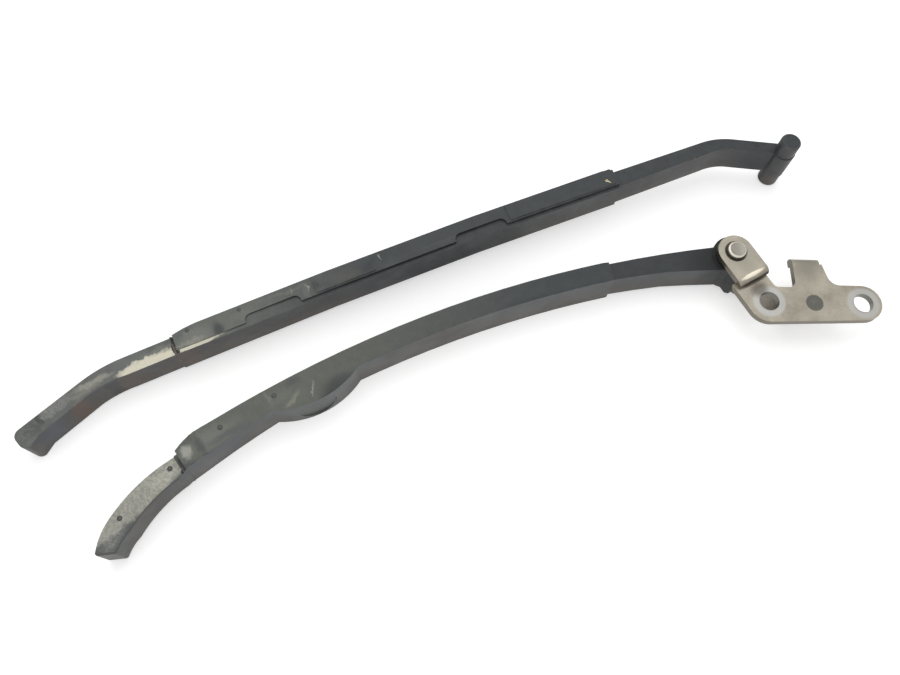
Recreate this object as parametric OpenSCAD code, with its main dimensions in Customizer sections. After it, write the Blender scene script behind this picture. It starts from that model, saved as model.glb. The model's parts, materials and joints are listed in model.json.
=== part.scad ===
// Cam chain guide set: a fixed guide and a pivoted tensioner blade on its bolt-on bracket.
// Millimetres. X runs along the two bolt holes, Z points up, and the origin is
// midway between the holes on the mounting face of the bracket plate.

/* [Bracket plate] */
// Thickness of the stamped plate
plate_t = 2.5; // [2:0.1:3.5]
// Distance between the two bolt holes
hole_spacing = 31.8; // [28:0.1:40]
// Diameter of the bolt holes
bolt_hole_d = 6.6; // [5:0.1:7]
// End radius of the plate round the hole beyond the tab
far_end_r = 6.3; // [5.5:0.1:7]
// End radius of the plate round the hole next to the ear
near_end_r = 7.5; // [6.5:0.1:8.5]
// Width of the ear that carries the pivot pin
ear_w = 12; // [10.5:0.5:14]
// Distance of the pivot from the bolt hole next to the ear
pivot_reach = 19.8; // [19:0.1:26]
// Direction of the ear from the bolt hole, measured from X
ear_angle = 120; // [110:1:130]
// Length of the ear from the pivot to the start of the joggle
ear_flat = 9; // [9:0.1:11]
// Depth of the tab behind the bolt line
tab_reach = 16.8; // [14:0.1:20]
// Width of the tab at its lip
tab_w = 9.3; // [7:0.1:11]
// Depth of the lip below the top of the plate
lip_drop = 3.8; // [3.4:0.1:6]
// Outer bend radius of the lip
lip_bend_r = 2.8; // [2.6:0.1:3.2]

/* [Bracket strap] */
// Thickness of the strap under the eye
strap_t = 1.6; // [1.2:0.1:2]
// Width of the strap
strap_w = 10; // [9.5:0.1:10.4]
// Length of the weld foot from the weld to the riser
foot_flat = 5.2; // [4.5:0.1:6]
// Run of the riser along the strap
riser_run = 2.7; // [2:0.1:3]

/* [Pivot] */
// Diameter of the pin in the eye
pin_d = 8; // [7:0.1:8.4]
// Diameter of the riveted ends of the pin
spigot_d = 6.2; // [5:0.1:6.6]
// Height of the pin head above the ear
head_proud = 1.5; // [0.8:0.1:2.5]
// Diameter of the chamfered seat round the pin head
seat_d = 7.5; // [6.8:0.1:8.5]
// Wall of the bush in the eye
bush_wall = 0.95; // [0.8:0.05:1.2]
// Radial running clearance between pin and bush
run_fit = 0.05; // [0.02:0.01:0.1]
// Gap between the eye and each side of the clevis
side_gap = 0.3; // [0.25:0.05:0.45]
// Outer diameter of the eye
eye_d = 14; // [13:0.1:15]
// Height of the eye
eye_h = 11.3; // [10.8:0.1:13]
// Half width of the heel that limits the swing
heel_half = 4.8; // [4:0.1:5.2]
// Length of the heel from the pivot
heel_len = 8.5; // [8:0.1:8.6]

/* [Tensioner blade] */
// Radius of the running face
blade_r = 384.5; // [360:0.5:420]
// Width of the shoe, side face to side face
shoe_w = 14; // [13:0.1:17]
// Width of the arm
arm_w = 11.7; // [10.5:0.1:12.5]
// Depth of the shoe, running face to back
shoe_depth = 7; // [6.5:0.1:8.5]
// Wall of the shoe round the arm
shoe_wall = 2.2; // [1.8:0.1:2.4]
// Angle of the running face that the arm covers before the shoe
arm_sweep = 5.8; // [5:0.1:7]
// Angle of the running face that the shoe covers
shoe_sweep = 22.8; // [20:0.1:25]
// Height of the plunger boss behind the shoe
boss_h = 4.3; // [3:0.1:5.5]
// Radius of the plunger boss
boss_r = 29.5; // [26:0.5:36]
// Diameter of the flat that the plunger presses on
flat_d = 12.5; // [10:0.5:13.5]

/* [Chain guide] */
// Length of the cross pin
cross_len = 23.6; // [20:0.1:28]
// Diameter of the cross pin
cross_d = 7; // [6:0.1:8]
// Width of the rail, side face to side face
rail_w = 11.2; // [10:0.1:12]
// Width of the guide shoe over its raised pads
guide_w = 14; // [13.4:0.1:16.5]
// Height of the raised pads above the sides of the shoe
pad_h = 0.4; // [0.2:0.1:0.5]
// Length of the guide shoe
guide_len = 158; // [140:0.5:170]
// Radius of the running face of the guide
guide_r = 2230; // [1500:10:3000]
// Wall of the guide shoe in front of the rail
guide_wall = 2.2; // [1.8:0.1:2.6]
// Ledge of the rail behind the shoe
ledge = 1.2; // [0.8:0.1:1.6]

/* [Hidden] */
$fn = 64;
steel = [0.64, 0.62, 0.58];
bright_steel = [0.75, 0.74, 0.70];
arm_black = [0.25, 0.26, 0.27];
shoe_grey = [0.31, 0.33, 0.33];
arc_step = 1.5;     // largest turn between two stations of an outline

// Levels of the clevis, from the mounting face
ear_z = plate_t;                                // underside of the ear
eye_top = ear_z - side_gap;
eye_floor = eye_top - eye_h;
strap_z = eye_floor - side_gap;                 // top of the strap under the eye
floor_z = strap_z - strap_t;                    // what the set lies on
blade_z = floor_z + shoe_w / 2;                 // mid plane of the blade

// Plan of the bracket
near_hole = [-hole_spacing / 2, 0];
far_hole = [hole_spacing / 2, 0];
pivot = near_hole + pivot_reach * [cos(ear_angle), sin(ear_angle)];
hole_off = 0.25;                                // ear centre line to near hole
pin_xy = pivot - hole_off * [sin(ear_angle), -cos(ear_angle)];
joggle = ear_flat + plate_t;                    // pivot to the foot of the joggle
neck_right = 5.2;                               // ear centre line to the neck edge
notch_y = 5.3;
tab_x = -6.2;
tab_lean = 15;
notch_r = 2;
tab_fillet = 4;

// Plan of the blade
blade_start = pin_xy + [-5, 3.5];
blade_heading = 188.3;
core_inset = 3;                                 // shoe face to the hidden core
tip_step = 3.1;                                 // shoe face to arm face at the tip end
root_depth = 9.2;                               // depth of the arm beside the eye
waist = 6.4;                                    // depth of the arm where the shoe begins
arm_inset = 0.4;                                // shoe face to arm face at the pivot end
end_depth = 8.8;                                // depth of the shoe at the tip end
core_t = shoe_depth - shoe_wall - core_inset;
flare = 0.2;                                    // share of the shoe over which it deepens
shoe_ramp = 9;                                  // length over which a running face falls away
shoe_drop = 1.9;                                // fall of the blade's running face
bury = 4;                                       // length of the hidden core in each arm
eye_clear = strap_w / 2 + 1.2;                  // plan room for the strap round the pin

// Plan of the guide
cross_xy = [-4.4, 56.3];
guide_start = cross_xy + [-1.1, 3.2];
guide_heading = 174.6;
step_n = 1.3;                                   // shoe face to rail face
mid_depth = 6.6;                                // depth of the rail behind the shoe
guide_drop = 1;                                 // fall of the guide's running face
lie_angle = 199.5;                              // direction of the rail from its cross pin
lie_reach = 216;                                // cross pin to the low corner of the shoe
lie_tilt = asin((cross_len - guide_w) / 2 / lie_reach);
cross_z = floor_z + (cross_len * cos(lie_tilt) + cross_d * sin(lie_tilt)) / 2;

// Points of an arc about c
function arc(c, r, a0, a1, n = 12) =
    [for (i = [0 : n]) c + r * [cos(a0 + (a1 - a0) * i / n), sin(a0 + (a1 - a0) * i / n)]];

// Stations [x, y, heading, depth] along runs of [length, 0, depth] or [radius, turn, depth]
function stations(p, h, d, runs, i = 0) =
    i == len(runs) ? [[p.x, p.y, h, d]] :
    let (a = runs[i][0], turn = runs[i][1], d1 = runs[i][2],
         n = turn == 0 ? 1 : max(2, ceil(abs(turn) / arc_step)),
         way = [for (k = [0 : n]) let (t = turn * k / n)
             turn == 0 ? [p.x + a * cos(h) * k, p.y + a * sin(h) * k, h, d + (d1 - d) * k] :
             [p.x + a * (sin(h + t) - sin(h)), p.y - a * (cos(h + t) - cos(h)),
              h + t, d + (d1 - d) * k / n]])
    concat([for (k = [0 : n - 1]) way[k]],
           stations([way[n].x, way[n].y], h + turn, d1, runs, i + 1));

// Point at a distance to the left of a station
function left_of(s, d) = [s[0] - d * sin(s[2]), s[1] + d * cos(s[2])];

// The same station moved along its heading
function along(s, d) = [s[0] + d * cos(s[2]), s[1] + d * sin(s[2]), s[2], s[3]];

// Stations carried on past both ends
function stretch(st, d) = concat([along(st[0], -d)], st, [along(st[len(st) - 1], d)]);

// Closed outline between two distances from the stations; back is taken off the depth
function bar(st, front, back) =
    concat([for (s = st) left_of(s, front)],
           [for (i = [len(st) - 1 : -1 : 0]) left_of(st[i], st[i][3] - back)]);

arm_right = stations(blade_start, blade_heading, root_depth,
    [[blade_r, arm_sweep / 2, waist + 0.8], [blade_r, arm_sweep / 2, waist]]);
shoe_start = arm_right[len(arm_right) - 1];
shoe_line = stations([shoe_start[0], shoe_start[1]], shoe_start[2], shoe_depth,
    [[blade_r, shoe_sweep * (1 - flare), shoe_depth], [blade_r, shoe_sweep * flare, end_depth]]);
shoe_end = shoe_line[len(shoe_line) - 1];
bury_turn = bury / blade_r * 180 / PI;
core_line = stations(left_of(along(shoe_start, -bury), core_inset),
    shoe_start[2] - bury_turn, core_t,
    [[blade_r - core_inset, shoe_sweep + 2 * bury_turn, core_t]]);
arm_left = stations(left_of(shoe_end, tip_step), shoe_end[2], end_depth - tip_step,
    [[3.4, 0, 6.6], [51.5, 25.8, 7.4], [21, 24, 6.2], [2.4, 0, 5.9]]);
guide_right = stations(guide_start, guide_heading, 4.2,
    [[17, 0, 4.2], [24, 27, 5], [35, 0, 5.9]]);
guide_right_end = guide_right[len(guide_right) - 1];
guide_mid = stations([guide_right_end[0], guide_right_end[1]], guide_right_end[2], mid_depth,
    [[guide_r, guide_len / guide_r * 180 / PI, mid_depth]]);
guide_end = guide_mid[len(guide_mid) - 1];
guide_left = stations([guide_end[0], guide_end[1]], guide_end[2], 6.2,
    [[17, 0, 6.1], [45, 18, 5.3], [18.5, 0, 5.6], [6.4, 0, 7]]);

// Closed outline of a shoe whose running face falls away over a ramp at its far end,
// and over a short lead at its near end
function shoe_outline(st, front, back, ramp, drop, lead, dip) =
    let (n = 8, last = st[len(st) - 1])
    concat([left_of(st[0], front + dip), left_of(along(st[0], lead), front)],
           [for (i = [1 : len(st) - 1]) if (norm([st[i][0] - last[0], st[i][1] - last[1]]) > ramp)
                left_of(st[i], front)],
           [for (k = [0 : n]) left_of(along(last, -ramp * (1 - k / n)), front + drop * pow(k / n, 2))],
           [for (i = [len(st) - 1 : -1 : 0]) left_of(st[i], st[i][3] - back)]);

// Place children at the pivot with X along the ear, towards the bolt hole
module on_ear() {
    translate([pin_xy.x, pin_xy.y, 0]) rotate(ear_angle - 180) children();
}

// Place children at the weld with X along the strap, towards the pivot
module on_strap() {
    rotate(atan2(pin_xy.y, pin_xy.x)) children();
}

// Place children at a distance along the guide shoe, X along it and Y into the rail
module on_guide(s) {
    turn = s / guide_r * 180 / PI;
    h = guide_right_end[2];
    translate([guide_right_end[0] + guide_r * (sin(h + turn) - sin(h)),
               guide_right_end[1] - guide_r * (cos(h + turn) - cos(h)), 0])
        rotate(h + turn) children();
}

// Lay the guide down on one end of its cross pin and the far corner of its shoe
module lie() {
    translate([cross_xy.x, cross_xy.y, cross_z])
        rotate(a = -lie_tilt, v = [cos(lie_angle - 90), sin(lie_angle - 90), 0])
            translate([-cross_xy.x, -cross_xy.y, 0]) children();
}

// Slab about a mid plane
module slab(outline, mid, w) {
    translate([0, 0, mid - w / 2]) linear_extrude(w) polygon(outline);
}

// ---- Bracket ----

function base_outline() =
    let (lean = asin((near_end_r - far_end_r) / hole_spacing),
         ux = [-cos(ear_angle), -sin(ear_angle)], vx = [sin(ear_angle), -cos(ear_angle)],
         slant_x = tab_x + tab_w, fil_y = far_end_r + tab_fillet,
         fil_x = slant_x + (tab_reach - fil_y) * tan(tab_lean) + tab_fillet / cos(tab_lean),
         nk_u = (pin_xy.y + (neck_right + notch_r) * vx.y - notch_y - notch_r) / -ux.y,
         nk = pin_xy + nk_u * ux + (neck_right + notch_r) * vx,
         flat_y = tab_reach - lip_bend_r)
    concat(
        arc(far_hole, far_end_r, -90 - lean, 90),
        arc([fil_x, fil_y], tab_fillet, 270, 180 + tab_lean, 6),
        [[slant_x + (tab_reach - flat_y) * tan(tab_lean), flat_y], [tab_x, flat_y]],
        arc([tab_x - notch_r, notch_y + notch_r], notch_r, 0, -90, 6),
        arc(nk, notch_r, -90, ear_angle - 270, 6),
        [pin_xy + joggle * ux + neck_right * vx,
         pin_xy + joggle * ux + (hole_off - near_end_r) * vx],
        arc(near_hole, near_end_r, ear_angle + 90, 270 - lean));

module joggle_bend(v0, v1, u, upper) {
    intersection() {
        translate([u, v0, plate_t]) rotate([-90, 0, 0]) cylinder(r = plate_t, h = v1 - v0);
        translate([ear_flat, v0, upper ? plate_t : 0]) cube([plate_t, v1 - v0, plate_t]);
    }
}

module bracket_plate() {
    color(steel) difference() {
        union() {
            linear_extrude(plate_t) polygon(base_outline());
            on_ear() {
                translate([0, -ear_w / 2, ear_z]) cube([ear_flat, ear_w, plate_t]);
                translate([0, 0, ear_z]) cylinder(d = ear_w, h = plate_t);
                joggle_bend(-ear_w / 2, ear_w / 2, ear_flat, true);
                joggle_bend(hole_off - near_end_r, neck_right, joggle, false);
            }
            lip();
        }
        for (p = [near_hole, far_hole])
            translate([p.x, p.y, -1]) cylinder(d = bolt_hole_d, h = plate_t + 2);
        translate([pin_xy.x, pin_xy.y, ear_z - 1]) cylinder(d = spigot_d, h = plate_t + 2);
        translate([pin_xy.x, pin_xy.y, ear_z + plate_t - 0.5]) cylinder(d = seat_d, h = 1);
    }
}

// Lip folded down from the end of the tab
module lip() {
    bend_z = plate_t - lip_bend_r;
    wall_y = tab_reach - plate_t;
    translate([tab_x, 0, 0]) {
        intersection() {
            difference() {
                translate([0, tab_reach - lip_bend_r, bend_z])
                    rotate([0, 90, 0]) cylinder(r = lip_bend_r, h = tab_w);
                translate([-1, tab_reach - lip_bend_r, bend_z])
                    rotate([0, 90, 0]) cylinder(r = lip_bend_r - plate_t, h = tab_w + 2);
            }
            translate([0, tab_reach - lip_bend_r, bend_z]) cube([tab_w, lip_bend_r, lip_bend_r]);
        }
        translate([0, wall_y, plate_t - lip_drop])
            cube([tab_w, plate_t, lip_drop - lip_bend_r]);
    }
}

module bracket_strap() {
    reach = norm(pin_xy);
    riser_end = foot_flat + riser_run;
    color(steel) difference() {
        union() {
            on_strap() {
                translate([0, strap_w / 2, 0]) rotate([90, 0, 0]) linear_extrude(strap_w)
                    polygon([[0, 0], [foot_flat, 0], [riser_end, strap_z], [reach, strap_z],
                             [reach, floor_z], [riser_end - strap_t, floor_z],
                             [foot_flat - strap_t, -strap_t], [0, -strap_t]]);
                translate([reach, 0, floor_z]) cylinder(d = strap_w, h = strap_t);
            }
            translate([0, 0, -strap_t]) cylinder(d = strap_w, h = strap_t);
        }
        translate([pin_xy.x, pin_xy.y, floor_z - 1]) cylinder(d = spigot_d, h = strap_t + 2);
    }
}

// ---- Pivot ----

module pivot_pin() {
    top = ear_z + plate_t + head_proud;
    bevel = 0.5;
    color(bright_steel) translate([pin_xy.x, pin_xy.y, 0]) rotate_extrude()
        polygon([[0, floor_z], [spigot_d / 2, floor_z], [spigot_d / 2, strap_z],
                 [pin_d / 2, strap_z], [pin_d / 2, ear_z], [spigot_d / 2, ear_z],
                 [spigot_d / 2, top - bevel], [spigot_d / 2 - bevel, top], [0, top]]);
}

bush_bore = pin_d / 2 + run_fit;
bush_r = bush_bore + bush_wall;

module eye_bush() {
    color(bright_steel) translate([pin_xy.x, pin_xy.y, eye_floor]) difference() {
        cylinder(r = bush_r, h = eye_h);
        translate([0, 0, -1]) cylinder(r = bush_bore, h = eye_h + 2);
    }
}

// ---- Tensioner blade ----

// Part of the arm that runs hidden through the shoe
module arm_core() {
    slab(bar(core_line, 0, 0), blade_z, arm_w - 2 * shoe_wall);
}

module heel() {
    corner = 1;
    on_ear() translate([0, 0, eye_floor]) linear_extrude(eye_h)
        polygon([[0, -heel_half], [heel_len - corner, -heel_half],
                 [heel_len, corner - heel_half], [heel_len, heel_half - corner],
                 [heel_len - corner, heel_half], [0, heel_half]]);
}

module blade_arm() {
    color(arm_black) difference() {
        union() {
            difference() {
                slab(bar(arm_right, arm_inset, 0), blade_z, arm_w);
                translate([pin_xy.x, pin_xy.y, floor_z - 1])
                    cylinder(r = eye_clear, h = eye_floor - floor_z + 1);
            }
            translate([pin_xy.x, pin_xy.y, eye_floor]) cylinder(d = eye_d, h = eye_h);
            heel();
            arm_core();
            tip();
        }
        translate([pin_xy.x, pin_xy.y, eye_floor - 1]) cylinder(r = bush_r, h = eye_h + 2);
    }
}

// Free end of the arm beyond the shoe, cut off square to the bolt line
module tip() {
    end = arm_left[len(arm_left) - 1];
    cut_rise = 0.4;
    cut_turn = 7;
    block = 40;
    difference() {
        slab(bar(arm_left, 0, 0), blade_z, arm_w);
        translate([end[0], end[1] + cut_rise, floor_z - 1]) rotate(cut_turn)
            translate([-block / 2, -block, 0]) cube([block, block, shoe_w + 2]);
    }
}

// Crescent behind the shoe that the plunger presses on
boss_turn = 120;    // direction of the boss from the centre of the running face
boss_spread = 1.12; // how far the crescent runs on into the shoe
flat_turn = 296.5;  // direction that the flat faces
flat_sink = 0.8;    // depth of the flat below the crescent
blade_c = left_of([blade_start.x, blade_start.y, blade_heading], blade_r);
boss_c = blade_c + (blade_r - shoe_depth - boss_h + boss_r) * [cos(boss_turn), sin(boss_turn)];

module boss() {
    half = acos(1 - boss_h / boss_r) * boss_spread;
    slab(concat(arc(boss_c, boss_r, boss_turn + 180 - half, boss_turn + 180 + half, 16),
                [blade_c + (blade_r - shoe_depth / 2) * [cos(boss_turn), sin(boss_turn)]]),
         blade_z, shoe_w);
}

module blade_shoe() {
    color(shoe_grey) difference() {
        union() {
            slab(shoe_outline(shoe_line, 0, 0, shoe_ramp, shoe_drop, 2, 0.2), blade_z, shoe_w);
            boss();
        }
        arm_core();
        translate([boss_c.x, boss_c.y, blade_z]) rotate([0, 90, flat_turn])
            translate([0, 0, boss_r - flat_sink]) cylinder(d = flat_d, h = 5);
    }
}

// ---- Chain guide ----

module cross_pin() {
    bevel = 0.6;
    r = cross_d / 2;
    half = cross_len / 2;
    hub = 0.3;      // step from the free ends to the part joined to the rail
    translate([cross_xy.x, cross_xy.y, 0]) rotate_extrude()
        polygon([[0, -half], [r - bevel, -half], [r, bevel - half], [r, -rail_w / 2],
                 [r + hub, -rail_w / 2], [r + hub, rail_w / 2], [r, rail_w / 2],
                 [r, half - bevel], [r - bevel, half], [0, half]]);
}

// Whole rail in one outline: its running face is set back where the shoe covers it
nose = guide_left[len(guide_left) - 1];
nose_r = 2.4;
function nose_corner(d, turn) =
    arc(left_of(along(nose, -nose_r), d), nose_r, nose[2] + turn, nose[2] + turn + 90, 6);
rail_outline = concat(
    [for (s = guide_right) left_of(s, 0)],
    [for (s = guide_mid) left_of(s, guide_wall - step_n)],
    [for (i = [0 : len(guide_left) - 2]) left_of(guide_left[i], 0)],
    nose_corner(nose_r, -90),
    nose_corner(nose[3] - nose_r, 0),
    [for (i = [len(guide_left) - 2 : -1 : 0]) left_of(guide_left[i], guide_left[i][3])],
    [for (i = [len(guide_mid) - 1 : -1 : 0]) left_of(guide_mid[i], guide_mid[i][3])],
    [for (i = [len(guide_right) - 1 : -1 : 0]) left_of(guide_right[i], guide_right[i][3])]);

module guide_rail() {
    color(arm_black) lie() {
        cross_pin();
        slab(rail_outline, 0, rail_w);
    }
}

// Where the shoe is open behind: [start, end] along the shoe
pockets = [[42.4, 61], [116, 135]];
// Raised pads on the sides of the shoe: [start, end] along the shoe
pads = [[1, 40.8], [89.6, 110.5]];
pad_inset = 0.4;
pocket_floor = 2.9;

module guide_shoe() {
    side_w = guide_w - 2 * pad_h;
    color(shoe_grey) lie() difference() {
        union() {
            slab(shoe_outline(guide_mid, -step_n, ledge, shoe_ramp, guide_drop, 3.7, 0.65), 0, side_w);
            for (p = pads) on_guide((p[0] + p[1]) / 2)
                translate([-(p[1] - p[0]) / 2, pad_inset - step_n, -guide_w / 2])
                    cube([p[1] - p[0], mid_depth + step_n - ledge - 2 * pad_inset, guide_w]);
        }
        slab(bar(stretch(guide_mid, 2), guide_wall - step_n, -5), 0, rail_w);
        for (p = pockets, side = [0, 1]) on_guide((p[0] + p[1]) / 2) mirror([0, 0, side])
            translate([-(p[1] - p[0]) / 2, pocket_floor, rail_w / 2 - 1])
                cube([p[1] - p[0], mid_depth, guide_w]);
    }
}

bracket_plate();
bracket_strap();
pivot_pin();
eye_bush();
blade_arm();
blade_shoe();
guide_rail();
guide_shoe();
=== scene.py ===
"""Cam chain guide set: moulded guide and tensioner blade with its riveted steel bracket."""
import json
import math

import bmesh
import bpy
from mathutils import Matrix, Vector


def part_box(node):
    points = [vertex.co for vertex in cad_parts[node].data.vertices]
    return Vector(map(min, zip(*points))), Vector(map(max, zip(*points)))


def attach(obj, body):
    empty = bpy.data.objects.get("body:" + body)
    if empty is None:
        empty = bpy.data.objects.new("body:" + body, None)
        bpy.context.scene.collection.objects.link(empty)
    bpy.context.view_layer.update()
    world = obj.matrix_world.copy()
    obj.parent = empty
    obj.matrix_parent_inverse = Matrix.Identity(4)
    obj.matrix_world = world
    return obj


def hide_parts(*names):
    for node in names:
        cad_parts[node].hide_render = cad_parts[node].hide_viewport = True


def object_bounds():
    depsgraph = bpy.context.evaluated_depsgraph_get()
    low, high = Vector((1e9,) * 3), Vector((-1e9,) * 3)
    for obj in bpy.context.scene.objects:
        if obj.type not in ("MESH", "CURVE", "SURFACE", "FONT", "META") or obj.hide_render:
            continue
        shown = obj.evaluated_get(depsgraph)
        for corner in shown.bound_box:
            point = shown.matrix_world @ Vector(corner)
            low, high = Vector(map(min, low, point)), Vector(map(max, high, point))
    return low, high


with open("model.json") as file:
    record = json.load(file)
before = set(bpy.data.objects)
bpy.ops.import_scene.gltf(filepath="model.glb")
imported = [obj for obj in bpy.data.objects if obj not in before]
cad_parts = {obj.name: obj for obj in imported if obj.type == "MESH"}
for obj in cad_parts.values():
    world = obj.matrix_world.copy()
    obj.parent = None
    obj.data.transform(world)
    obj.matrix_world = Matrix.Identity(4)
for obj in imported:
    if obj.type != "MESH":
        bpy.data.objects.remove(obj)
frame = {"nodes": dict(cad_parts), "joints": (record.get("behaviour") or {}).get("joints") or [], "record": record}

bl_info = {
    "name": "Cam Chain Guide Set",
    "version": (1, 0, 0),
    "blender": (4, 5, 0),
    "location": "View3D > Sidebar > Chain Guides",
    "description": "Builds the finished guide, blade and bracket round the CAD frame",
    "category": "Object",
}

MM = 0.001
CAD_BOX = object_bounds()
NODES = frame["nodes"]
MOUNTS = {m["name"]: m for m in frame["record"]["mounts"]}
PIVOT = Vector(frame["joints"][0]["pos_m"])
HOLE_SPACING = MOUNTS["bolt_holes"]["dims"]["spacing_x_mm"]
HOLE_R = MOUNTS["bolt_holes"]["dims"]["hole_r_mm"]
FLOOR_Z = CAD_BOX[0].z
PLATE_TOP = 2.5 * MM
BLADE_MID = FLOOR_Z + 7 * MM            # mid plane of the blade, half its shoe width up
CROSS_PIN = (Vector(MOUNTS["cross_pin_top"]["pos_m"])
             + Vector(MOUNTS["cross_pin_bottom"]["pos_m"])) / 2
GUIDE_UP = Vector(MOUNTS["cross_pin_top"]["axis"])


# ---- Places along the two bars, in millimetres and degrees ----

def walk(place, heading, runs):
    """Follow runs of (length, 0) or (radius, turn) and return the last place and heading."""
    x, y = place
    for size, turn in runs:
        if turn == 0:
            x += size * math.cos(math.radians(heading))
            y += size * math.sin(math.radians(heading))
        else:
            end = heading + turn
            x += size * (math.sin(math.radians(end)) - math.sin(math.radians(heading)))
            y -= size * (math.cos(math.radians(end)) - math.cos(math.radians(heading)))
            heading = end
    return (x, y), heading


def inward(place, heading, depth):
    """The point at a depth behind the running face."""
    return (place[0] - depth * math.sin(math.radians(heading)),
            place[1] + depth * math.cos(math.radians(heading)))


BLADE_START = (PIVOT.x / MM - 5, PIVOT.y / MM + 3.5)
BLADE_HEADING = 188.3
BLADE_R = 384.5
SHOE_END = 5.8 + 22.8                   # degrees of running face up to the end of the shoe
GUIDE_START = (CROSS_PIN.x / MM - 1.1, CROSS_PIN.y / MM + 3.2)
GUIDE_HEADING = 174.6
GUIDE_R = 2230
GUIDE_LEN = 158
GUIDE_RIGHT = [(17, 0), (24, 27), (35, 0)]


def on_blade(turn, depth):
    """A point of the blade: degrees along the running face, and depth behind it."""
    place, heading = walk(BLADE_START, BLADE_HEADING, [(BLADE_R, turn)])
    return inward(place, heading, depth), heading


def on_guide(s, depth):
    """A point of the guide: distance along its shoe, and depth behind the rail's face."""
    place, heading = walk(GUIDE_START, GUIDE_HEADING,
                          GUIDE_RIGHT + [(GUIDE_R, math.degrees(s / GUIDE_R))])
    return inward(place, heading, depth), heading


# ---- Colour ----

def linear(code, alpha=1.0):
    """sRGB hex to linear RGBA."""
    parts = [int(code[i:i + 2], 16) / 255 for i in (1, 3, 5)]
    return tuple(c / 12.92 if c <= 0.04045 else ((c + 0.055) / 1.055) ** 2.4
                 for c in parts) + (alpha,)


def add(tree, kind, inputs=None, **settings):
    """Add one node, set it up, and link or fill its inputs."""
    node = tree.nodes.new(kind)
    for key, value in settings.items():
        setattr(node, key, value)
    for key, value in (inputs or {}).items():
        if isinstance(value, bpy.types.NodeSocket):
            tree.links.new(value, node.inputs[key])
        else:
            node.inputs[key].default_value = value
    return node


def new_material(name):
    """An empty material and its tree."""
    mat = bpy.data.materials.new(name)
    mat.use_nodes = True
    mat.node_tree.nodes.clear()
    return mat, mat.node_tree


def soft_oval_mask(tree, coords, place, heading, half, edge=0.35, level=0.0, reach=20.0):
    """A soft oval mask, 1 inside, laid along a bar. Sizes are in millimetres."""
    local = add(tree, "ShaderNodeMapping", {
        0: coords, 1: (place[0] * MM, place[1] * MM, level * MM),
        2: (0, 0, math.radians(heading)),
        3: (half[0] * MM, half[1] * MM, reach * MM)}, vector_type="TEXTURE")
    dome = add(tree, "ShaderNodeTexGradient", {0: local.outputs[0]}, gradient_type="SPHERICAL")
    return add(tree, "ShaderNodeMapRange", {0: dome.outputs[1], 2: edge},
               interpolation_type="SMOOTHSTEP").outputs[0]


def times(tree, *values):
    """The product of masks and numbers."""
    total = values[0]
    for value in values[1:]:
        total = add(tree, "ShaderNodeMath", {0: total, 1: value}, operation="MULTIPLY").outputs[0]
    return total


def stack(tree, colour, layers):
    """Lay each (mask, hex) over the colour below it."""
    for mask, code in layers:
        colour = add(tree, "ShaderNodeMix", {0: mask, 6: colour, 7: linear(code)},
                     data_type="RGBA").outputs[2]
    return colour


def wear_or_light(place, heading, half, code, strength=0.6, edge=0.5, speckle=0.0, back=False):
    """One spot of wear, stain, painted highlight or painted shade: its place on the plan, direction, half sizes
    and colour.
    """
    return place, heading, half, code, strength, edge, speckle, back


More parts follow.
